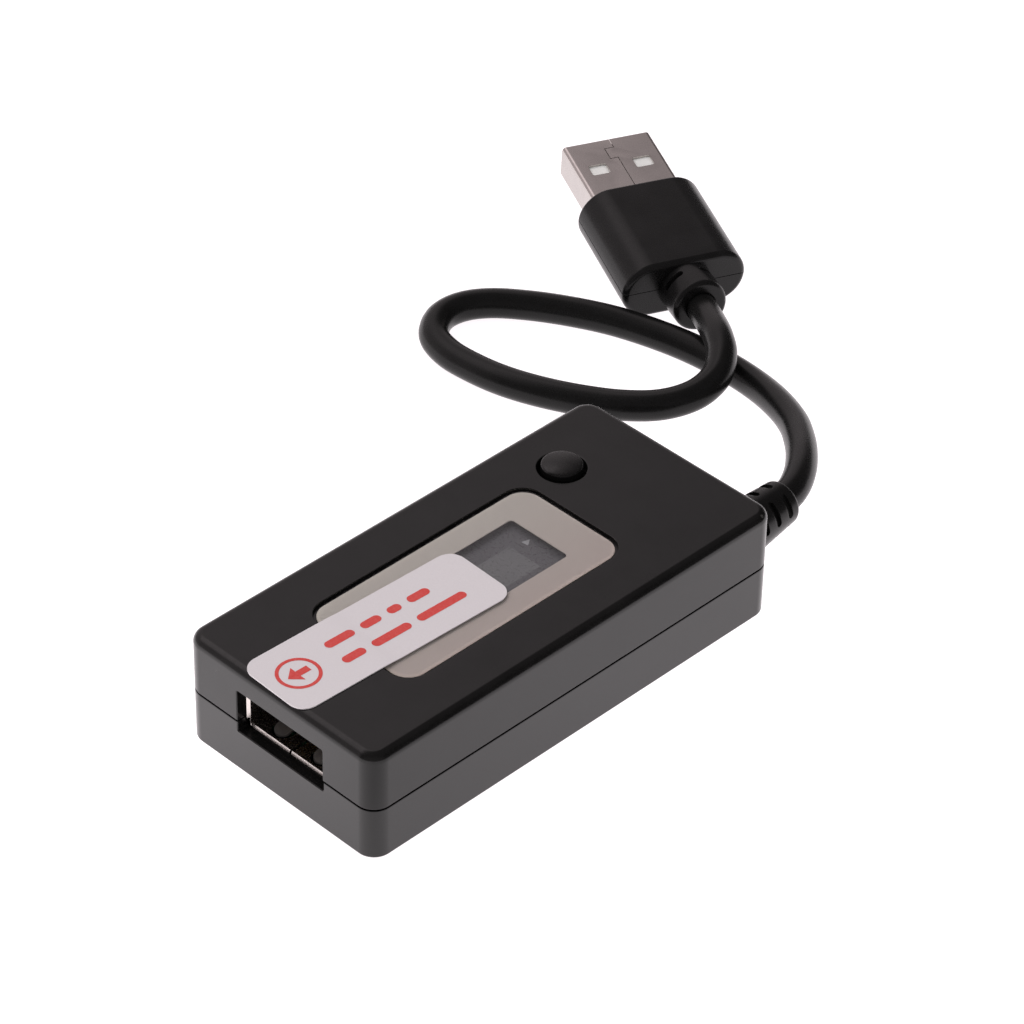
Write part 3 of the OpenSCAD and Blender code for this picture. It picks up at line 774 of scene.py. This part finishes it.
def tab_half_width(v):
    """Half width of the sticker at v, with its round corners."""
    into = TAB_R - (TAB_L / 2 - abs(v))
    if into <= 0:
        return TAB_W / 2
    return TAB_W / 2 - TAB_R + math.sqrt(max(TAB_R * TAB_R - into * into, 1e-6))


def tab_point(u, v, lift):
    return (u, v, tab_height(v) + lift)


tab_place = shift(TAB_X, TAB_Y, 0) @ turn(TAB_TURN, "Z")
straight = TAB_L / 2 - TAB_R
stations = [straight + TAB_R * math.sin(math.radians(90 - 9 * i)) for i in range(11)]
stations += [straight - 2 * straight * i / 60 for i in range(1, 60)]
stations += [-s for s in reversed(stations[:11])]
ACROSS = 12
rings = []
for v in stations:
    half = tab_half_width(v)
    spread = [half * math.sin(math.radians(90 * (2 * k / ACROSS - 1))) for k in range(ACROSS + 1)]
    upper = [tab_point(u, v, TAB_T) for u in spread]
    under = [tab_point(u, v, 0.0) for u in reversed(spread)]
    rings.append(upper + under)
tab = place(loft("peel_sticker", rings), tab_place)
shade(tab, 50)
finish_piece(tab, sticker_mat, "film", "sticker", "peel_tab")


INK_LIFT = 0.02


def flat_mark(name, outline):
    """Flat patch of ink on the sticker: outline in the sticker's own plane."""
    verts = [tab_point(u, v, TAB_T + INK_LIFT) for u, v in outline]
    return place(mesh_object(name, verts, [tuple(range(len(verts)))]), tab_place)


def bar_mark(u, lo, hi, width):
    """Bar of ink along the sticker with round ends, following its ramp."""
    verts = []
    steps = 48
    for i in range(steps + 1):
        v = lo + (hi - lo) * (1 - math.cos(math.pi * i / steps)) / 2
        into = max(0.0, width / 2 - min(v - lo, hi - v))
        half = math.sqrt(max(width * width / 4 - into * into, 1e-5))
        verts += [tab_point(u - half, v, TAB_T + INK_LIFT), tab_point(u + half, v, TAB_T + INK_LIFT)]
    faces = [(2 * i, 2 * i + 1, 2 * i + 3, 2 * i + 2) for i in range(steps)]
    return place(mesh_object("bar_mark", verts, faces), tab_place)


RING_U, RING_V, RING_R, RING_T, RING_STEPS = -0.1, -11.2, 2.55, 0.42, 72
ring_verts = []
for r in (RING_R, RING_R - RING_T):
    for x, y in circle_pts(r, RING_STEPS):
        ring_verts.append(tab_point(RING_U + x, RING_V + y, TAB_T + INK_LIFT))
ring_faces = []
for k in range(RING_STEPS):
    following = (k + 1) % RING_STEPS
    ring_faces.append((k, following, RING_STEPS + following, RING_STEPS + k))
marks = [place(mesh_object("ring_mark", ring_verts, ring_faces), tab_place)]
HEAD_W, SHAFT_W, TIP, NECK, END = 1.25, 0.45, -1.5, -0.1, 1.4
ARROW = (
    (0, TIP), (HEAD_W, NECK), (SHAFT_W, NECK), (SHAFT_W, END), (-SHAFT_W, END), (-SHAFT_W, NECK),
    (-HEAD_W, NECK),
)
marks.append(flat_mark("arrow_mark", [(RING_U + x, RING_V + y) for x, y in ARROW]))
BAR_W = 1.15
# distance of each row from the sticker's middle line, and where its bars start and end
BAR_ROWS = {
    -1.55: ((-6.2, -2.2), (-1.1, 1.6), (2.7, 4.5), (5.6, 8.6)),
    1.55: ((-6.4, -3.3), (-2.2, 3.2), (4.3, 11.2)),
}
for row_u, spans in BAR_ROWS.items():
    for lo, hi in spans:
        marks.append(bar_mark(row_u, lo, hi, BAR_W))
for i, mark in enumerate(marks):
    mark.name = f"tab_mark_{i + 1}"
    finish_piece(mark, ink_mat, "film", "sticker")

# pale pointer on the display's border
POINTER = [(-1.7, 7.15), (-0.76, 7.27), (-1.4, 8.2)]
pointer_mat = plastic("pointer_print", (0.42, 0.42, 0.42), 0.4, wear=0.1).mat
pointer_z = DISPLAY_TOP + 0.015
pointer = mesh_object("display_pointer", [(x, y, pointer_z) for x, y in POINTER], [(0, 1, 2)])
finish_piece(pointer, pointer_mat, "housing", "display")

# ---------------------------------------------------------------- socket
def flat_tube(name, w, h, outer_r, sheet, y0, y1, lip):
    """Sheet-metal tube along Y, open at both ends, its front edge rounded from the inside out."""
    rings = []
    for y, share in (
        (y1, 1.0), (y0 + lip, 1.0), (y0 + 0.3 * lip, 0.8), (y0, 0.5), (y0 + 0.3 * lip, 0.2),
        (y0 + lip, 0.0), (y1, 0.0),
    ):
        inset = sheet * share
        outline = rounded(w - 2 * inset, h - 2 * inset, max(outer_r - inset, 0.05), 6)
        rings.append([(px, y, -pz) for px, pz in outline])
    n = len(rings[0])
    obj = loft(name, rings, closed=False)
    last = (len(rings) - 1) * n

    def close_back(bm):
        bm.verts.ensure_lookup_table()
        for j in range(n):
            k = (j + 1) % n
            bm.faces.new([bm.verts[i] for i in (last + j, last + k, k, j)])

    fix_normals(obj, close_back)
    return obj


rim_w, rim_h = SOCKET_W + 2 * SHEET, SOCKET_H + 2 * SHEET
socket_mid = SOCKET_FLOOR + SOCKET_H / 2
socket = place(
    flat_tube("socket_shell", rim_w, rim_h, 0.5, SHEET, SOCKET_Y, SOCKET_Y + SOCKET_L, 0.16),
    shift(SOCKET_X, 0, socket_mid),
)
back_plate = box(
    "back_plate",
    (SOCKET_X - rim_w / 2 + 0.1, SOCKET_Y + SOCKET_L - SHEET, SOCKET_FLOOR - 0.2),
    (SOCKET_X + rim_w / 2 - 0.1, SOCKET_Y + SOCKET_L, SOCKET_FLOOR + SOCKET_H + 0.2),
)
legs = [
    box(
        "leg",
        (SOCKET_X + s * (SOCKET_W + SHEET) / 2 - SHEET / 2, y - 0.8, 3.2),
        (SOCKET_X + s * (SOCKET_W + SHEET) / 2 + SHEET / 2, y + 0.8, 6.2),
    )
    for s in (-1, 1)
    for y in (-26.3, -19.7)
]
LIP_OUT, LIP_LOW = 0.3, 0.9


def side_lip(side):
    """Front lip of the frame on one side, turned out into the mouth of the housing."""
    half = SOCKET_W / 2
    outline = [
        (half, 0.25), (half, 0), (half + LIP_OUT, -LIP_OUT), (half + LIP_OUT + 0.08, 0.1 - LIP_OUT),
        (half + SHEET - 0.02, 0), (half + SHEET - 0.02, 0.25),
    ]
    points = [(SOCKET_X + side * x, SOCKET_Y + y) for x, y in outline]
    if side < 0:
        points.reverse()
    ends = (SOCKET_FLOOR + LIP_LOW, SOCKET_FLOOR + SOCKET_H - LIP_LOW)
    return loft("lip", [[(x, y, z) for x, y in points] for z in ends])


# rolled lower edge of the frame: half its width, and its section as (behind the front, height)
BEAD_HALF = 6.1
BEAD_PROFILE = [(-0.02, 5.5), (-0.02, 5.56), (0.12, 5.91), (0.27, 5.91), (0.4, 5.7), (0.4, 5.5)]
bead_ends = (SOCKET_X + BEAD_HALF, SOCKET_X - BEAD_HALF)
bead = loft("bead", [[(x, SOCKET_Y + y, z) for y, z in BEAD_PROFILE] for x in bead_ends])
join_to(socket, back_plate, *legs, side_lip(-1), side_lip(1), bead)
FINGER_W, FINGER_X, FINGER_Y, FINGER_L, FINGER_RISE = 2.1, 3.1, -28.6, 6.0, 0.62


def finger_cutter(side):
    tip = FINGER_W / 2 + 0.3
    angles = [math.radians(a) for a in range(180, 361, 12)]
    outline = [(tip * math.cos(a), tip * math.sin(a)) for a in angles]
    outline += [(tip, FINGER_L), (-tip, FINGER_L)]
    cx, cy = SOCKET_X + side * FINGER_X, FINGER_Y + FINGER_W / 2
    return loft("slot", [[(cx + x, cy + y, z) for x, y in outline] for z in (4.6, 6.3)])


SEAM_HALF = 0.14
cut(
    socket,
    box("seam", (SOCKET_X - SEAM_HALF, SOCKET_Y - 1, 4), (SOCKET_X + SEAM_HALF, SOCKET_Y + 11, 6)),
    box("tails", (SOCKET_X - 5, SOCKET_Y + 10.95, 4), (SOCKET_X + 5, SOCKET_Y + 12.95, 6)),
    finger_cutter(-1),
    finger_cutter(1),
)
shade(socket)
finish_piece(socket, steel_mat, "housing", "steel", "usb_socket_shell")


def spring_finger(side):
    """Bent strip with a round tip, rising a little into the socket."""
    cx, y0 = SOCKET_X + side * FINGER_X, FINGER_Y
    length = FINGER_L + FINGER_W / 2
    rings = []
    steps = 26
    for i in range(steps + 1):
        t = i / steps
        y = y0 + length * t ** 1.6
        near_tip = FINGER_W / 2 - (y - y0)
        half = FINGER_W / 2
        if near_tip > 0:
            half = math.sqrt(max((FINGER_W / 2) ** 2 - near_tip**2, 1e-4))
        s = (y - y0) / length
        if s < 0.85:
            rise = 0.1 + FINGER_RISE * math.sin(math.pi * min(1.0, s * 1.15 + 0.02)) ** 1.4
        else:
            rise = 0.1 * (1 - (s - 0.85) / 0.15)
        z = SOCKET_FLOOR - SHEET + max(rise, 0.0)
        left, right = cx - half, cx + half
        rings.append([(left, y, z), (right, y, z), (right, y, z + SHEET), (left, y, z + SHEET)])
    obj = loft(f"spring_finger_{'left' if side < 0 else 'right'}", rings)
    shade(obj, 40)
    return finish_piece(obj, finger_mat, "housing", "steel")


spring_finger(-1)
spring_finger(1)


# ---------------------------------------------------------------- sleeves
SLEEVE_R0, SLEEVE_R1, SLEEVE_SLOTS, SLEEVE_SLOT_TURN = 3.4, 2.7, (2.15, 4.45, 6.75), 35
NECK_R, COLLAR_R, COLLAR_L, NECK_L = 2.9, 3.6, 1.5, 4.3


def sleeve(name, length, r0, r1, slots, slot_turn, inside):
    """Round sleeve along +Y: soft end, hollow tip, four slots round it at each place in slots."""
    end_r = 0.6
    hole_r = CORD_D / 2 + 0.02

    def radius(y):
        return r0 + (r1 - r0) * y / length

    straight = length - end_r
    profile = [(r0, -inside)] + [(radius(straight * i / 24), straight * i / 24) for i in range(1, 25)]
    tip_r = profile[-1][0]
    for i in range(1, 7):
        a = math.radians(15 * i)
        profile.append((tip_r - end_r * (1 - math.cos(a)), straight + end_r * math.sin(a)))
    profile += [(hole_r + 0.1, length), (hole_r + 0.02, length - 0.08), (hole_r, length - 0.6)]
    obj = place(lathe(name, profile, 72), turn(-90, "X"))
    cutters = []
    for y in slots:
        for k in range(4):
            cutter = block("slot", SLOT_SPAN, SLOT_W, SLOT_W / 2 - 0.02, 0, 0, SLOT_FLOOR_R, 4.6, 5)
            cutters.append(place(place(cutter, turn(90 - slot_turn - 90 * k, "Y")), shift(0, y, 0)))
    cut(obj, *cutters)
    return obj


relief = sleeve(
    "box_sleeve", SLEEVE_L - SLEEVE_STAND, SLEEVE_R0, SLEEVE_R1, SLEEVE_SLOTS, SLEEVE_SLOT_TURN, 0.0
)
place(relief, shift(0, SLEEVE_STAND, 0))
place(relief, shift(SLEEVE_X, BODY_L / 2, SLEEVE_Z) @ turn(SLEEVE_TURN, "Z"))
neck = place(
    lathe("neck", [(COLLAR_R, 0), (COLLAR_R, COLLAR_L), (NECK_R, COLLAR_L), (NECK_R, NECK_L)], 48),
    shift(SLEEVE_X, BODY_L / 2 - LOW_WALL - 1.6, SLEEVE_Z) @ turn(-90, "X"),
)
join_to(relief, neck)
soften(relief, 0.12, 3, 40)
shade(relief, 40)
finish_piece(relief, rubber_mat, "housing", "cord_rubber", "box_strain_relief")

# ---------------------------------------------------------------- plug
plug_place = Matrix.Translation(GRIP_BACK * MM) @ turn(PLUG_TURN, "Z") @ turn(-PLUG_TILT, "Y")
PART_Z, NOTCH = 0.2, 0.08
TAIL_R, TAIL_SLOT = 3.5, 2.3


def grip_outline(inset):
    """Section of the grip: two flats and two round sides, each with a shallow parting groove."""
    half_t = GRIP_T / 2 - inset
    flat = GRIP_W / 2 - GRIP_T / 2
    pts = []
    for side in (1, -1):
        for i in range(25):
            a = math.radians(-90 + 180 * i / 24)
            pts.append((side * (flat + half_t * math.cos(a)), side * half_t * math.sin(a)))
            z_here = side * half_t * math.sin(a)
            z_next = side * half_t * math.sin(math.radians(-90 + 180 * (i + 1) / 24))
            if i < 24 and min(z_here, z_next) < PART_Z < max(z_here, z_next):
                order = 1 if z_next > z_here else -1
                for dz, depth in ((-0.07, 0.0), (0.0, NOTCH), (0.07, 0.0)):
                    z = PART_Z + order * dz
                    x = flat + math.sqrt(max(half_t**2 - z * z, 0)) - depth
                    pts.append((side * x, z))
    return pts


def grip_ring(x, inset, bow):
    """Ring of the grip at x along the plug; a bowed ring stands forward in its middle."""
    ring = []
    for y, z in grip_outline(inset):
        ring.append((x + bow * (1 - (y / (GRIP_W / 2)) ** 2), y, z))
    return ring


rings = []
BACK_R, FRONT_R, BOW = 0.75, 0.45, 0.3
for i in range(7):
    a = math.radians(15 * i)
    rings.append(grip_ring(BACK_R * (1 - math.cos(a)), BACK_R * (1 - math.sin(a)), 0.0))
body_end = GRIP_L - BOW
for i in range(1, 6):
    rings.append(grip_ring(BACK_R + (body_end - FRONT_R - BACK_R) * i / 6, 0.0, BOW * (i / 6) ** 2))
for i in range(6):
    a = math.radians(18 * i)
    rings.append(grip_ring(body_end - FRONT_R * (1 - math.sin(a)), FRONT_R * (1 - math.cos(a)), BOW))
grip = loft("plug_grip", rings)
fix_normals(grip)
pocket = place(
    block("pocket", PLUG_H + 0.16, PLUG_W + 0.16, 0.55, 0, 0, 7.6, 18, 6),
    Matrix(((0, 0, 1, 0), (0, 1, 0, 0), (-1, 0, 0, 0), (0, 0, 0, 1))),
)
parting = box("parting", (-0.1, -GRIP_W, PART_Z - 0.05), (0.07, GRIP_W, PART_Z + 0.05))
cut(grip, pocket, parting)
place(grip, plug_place)
tail_place = Matrix.Translation(GRIP_BACK * MM) @ turn(PLUG_TURN, "Z") @ turn(-TAIL_TILT, "Y")
tail = sleeve("tail", TAIL_L, TAIL_R, TAIL_R, (TAIL_SLOT - TAIL_ROOT,), 45, TAIL_ROOT)
place(tail, tail_place @ turn(90, "Z"))
soften(tail, 0.12, 3, 40)
join_to(grip, tail)
shade(grip, 38)
finish_piece(grip, grip_mat, "housing", "cord_rubber", "plug_overmould")


def along_plug(obj):
    """From a piece drawn along -Y, tip at -Y, to the plug's place."""
    return place(obj, plug_place @ turn(90, "Z"))


shell = flat_tube("plug_frame", PLUG_W, PLUG_H, 0.55, SHEET, -PLUG_REACH, -SHELL_X0, 0.14)
HOLE_X, HOLE_Y, HOLE_W, HOLE_L = 3, -22.1, 2.4, 2.0
# the seam runs back from the front edge, steps to the side and on to the grip
SEAM_W, SEAM_FRONT_X, SEAM_STEP_X, SEAM_BACK_X, SEAM_NEAR, SEAM_FAR = 0.09, -0.4, 0.85, -0.2, 23.7, 25.8


def seam_box(x0, x1, y0, y1):
    """Gap in the upper sheet, x to the side and y forward; its x range grows by half the gap each way."""
    return box("seam", (x0 - SEAM_W / 2, -y1, 1.0), (x1 + SEAM_W / 2, -y0, 4.0))


cut(
    shell,
    *[block("hole", HOLE_W, HOLE_L, 0.3, x, HOLE_Y, -4, 4, 5) for x in (-HOLE_X, HOLE_X)],
    seam_box(SEAM_FRONT_X, SEAM_FRONT_X, SEAM_FAR, 30),
    seam_box(SEAM_STEP_X, SEAM_STEP_X, SEAM_NEAR, SEAM_FAR + SEAM_W),
    seam_box(SEAM_BACK_X, SEAM_BACK_X, 8, SEAM_NEAR + SEAM_W),
    seam_box(SEAM_FRONT_X, SEAM_STEP_X, SEAM_FAR, SEAM_FAR + SEAM_W),
    seam_box(SEAM_BACK_X, SEAM_STEP_X, SEAM_NEAR, SEAM_NEAR + SEAM_W),
)
along_plug(shell)
shade(shell)
finish_piece(shell, plug_steel_mat, "housing", "steel", "plug_shell")

# ---------------------------------------------------------------- cord
finish_piece(cord, rubber_mat, "housing", "cord_rubber", "cord")

# ---------------------------------------------------------------- pieces kept from the frame
KEPT = {
    "lcd_holder": white_mat,
    "lcd_pins": steel_mat,
    "usb_socket_tongue": inner_mat,
    "usb_socket_contacts": gold_mat,
    "plug_insulator": white_mat,
    "plug_contacts": gold_mat,
    "circuit_board": board_mat,
    "solder_pads": gold_mat,
    "switch_base": inner_mat,
    "switch_cover": steel_mat,
    "switch_dome": steel_mat,
    "switch_plunger": inner_mat,
    "controller_chip": chip_mat,
    "shunt_resistor": chip_mat,
    "regulator_chip": chip_mat,
    "small_chips": ceramic_mat,
    "wire_red": wire_mats["red"],
    "wire_black": wire_mats["black"],
    "wire_white": wire_mats["white"],
    "wire_green": wire_mats["green"],
}
for node_name, material in KEPT.items():
    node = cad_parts[node_name]
    node.data.materials.clear()
    node.data.materials.append(material)


# ---------------------------------------------------------------- stage and light
def floor_material():
    """Pale sheet with painted light: it glows, most to the left of the picture and less far behind and close
    by, brightening what the object mirrors and washing out the shadows on it.
    """
    s = Shader("floor_painted_glow", (0.3, 0.3, 0.3), 0.8)
    s.link("Base Color", s.mix(s.patches(3, 0.0, 1.0, 2.0), (0.29, 0.29, 0.29), (0.31, 0.31, 0.31)))
    axes = s.add("ShaderNodeSeparateXYZ", {"Vector": s.coords})
    x, y = axes.outputs["X"], axes.outputs["Y"]
    # painted light: the emission strength varies over the floor, highest to the left, in place of light
    # falling from lamps
    along = s.math("ADD", s.math("MULTIPLY", x, 0.715), s.math("MULTIPLY", y, 0.7))
    across = s.math("SUBTRACT", s.math("MULTIPLY", y, 0.715), s.math("MULTIPLY", x, 0.7))
    left, right = s.remap(along, -0.035, -0.011, 1.5, 1.1), s.remap(along, -0.011, 0.02, 0.0, 0.17)
    far, near = s.remap(across, 0.02, 0.06, 1.0, 0.87), s.remap(across, -0.045, -0.03, 0.75, 1.0)
    glow = s.math("MULTIPLY", s.math("ADD", left, right), s.math("MULTIPLY", far, near))
    s.link("Emission Strength", glow)
    s.bsdf.inputs["Emission Color"].default_value = (1.0, 0.94, 0.965, 1)
    s.bsdf.inputs["Specular IOR Level"].default_value = 0.1
    return s.mat


FLOOR, FLOOR_Z = 4000, -0.02
corners = [(x * FLOOR, y * FLOOR, FLOOR_Z) for x, y in ((-1, -1), (1, -1), (1, 1), (-1, 1))]
floor = mesh_object("floor", corners, [(0, 1, 2, 3)])
floor.data.materials.append(floor_material())

world = bpy.data.worlds.new("studio")
scene.world = world
world.use_nodes = True
tree = world.node_tree
sky = tree.nodes["Background"]


def world_node(kind, inputs, out=0, **attributes):
    node = tree.nodes.new(kind)
    for key, value in attributes.items():
        setattr(node, key, value)
    for key, value in inputs.items():
        if isinstance(value, bpy.types.NodeSocket):
            tree.links.new(value, node.inputs[key])
        else:
            node.inputs[key].default_value = value
    return node.outputs[out]


def soft_step(value, lo, hi, new_lo, new_hi):
    return world_node(
        "ShaderNodeMapRange",
        {"Value": value, "From Min": lo, "From Max": hi, "To Min": new_lo, "To Max": new_hi},
        interpolation_type="SMOOTHSTEP",
    )


toward = tree.nodes.new("ShaderNodeTexCoord").outputs["Generated"]
sky_axes = tree.nodes.new("ShaderNodeSeparateXYZ")
tree.links.new(toward, sky_axes.inputs["Vector"])
camera_side = world_node(
    "ShaderNodeVectorMath", {0: toward, 1: (0.7, -0.7, 0.0)}, "Value", operation="DOT_PRODUCT"
)
left_side = soft_step(sky_axes.outputs["X"], -0.3, -0.65, 0.05, 0.63)
overhead = soft_step(sky_axes.outputs["Z"], 0.64, 0.76, 1.0, 2.5)
left_panel = world_node("ShaderNodeMath", {0: left_side, 1: overhead}, operation="MULTIPLY")
camera_panel = soft_step(camera_side, 0.3, 0.8, 0.05, 0.2)
glow = world_node("ShaderNodeMath", {0: left_panel, 1: camera_panel}, operation="MAXIMUM")
tree.links.new(glow, sky.inputs["Strength"])
sky.inputs["Color"].default_value = (1.0, 0.9, 0.92, 1)


def area_light(name, at, size, power):
    """Light seen by matt surfaces only, so that glossy ones mirror the plain studio."""
    data = bpy.data.lights.new(name, "AREA")
    data.shape = "RECTANGLE"
    data.size, data.size_y = size
    data.energy = power
    obj = bpy.data.objects.new(name, data)
    scene.collection.objects.link(obj)
    obj.location = Vector(at)
    obj.rotation_euler = (-Vector(at)).to_track_quat("-Z", "Y").to_euler()
    obj.visible_glossy = False


area_light("key", (-0.35, -0.25, 0.75), (0.7, 0.7), 4.2)
area_light("fill", (0.6, 0.3, 0.6), (0.6, 0.6), 2.2)
area_light("front", (0.25, -0.8, 0.2), (0.5, 0.2), 1.5)
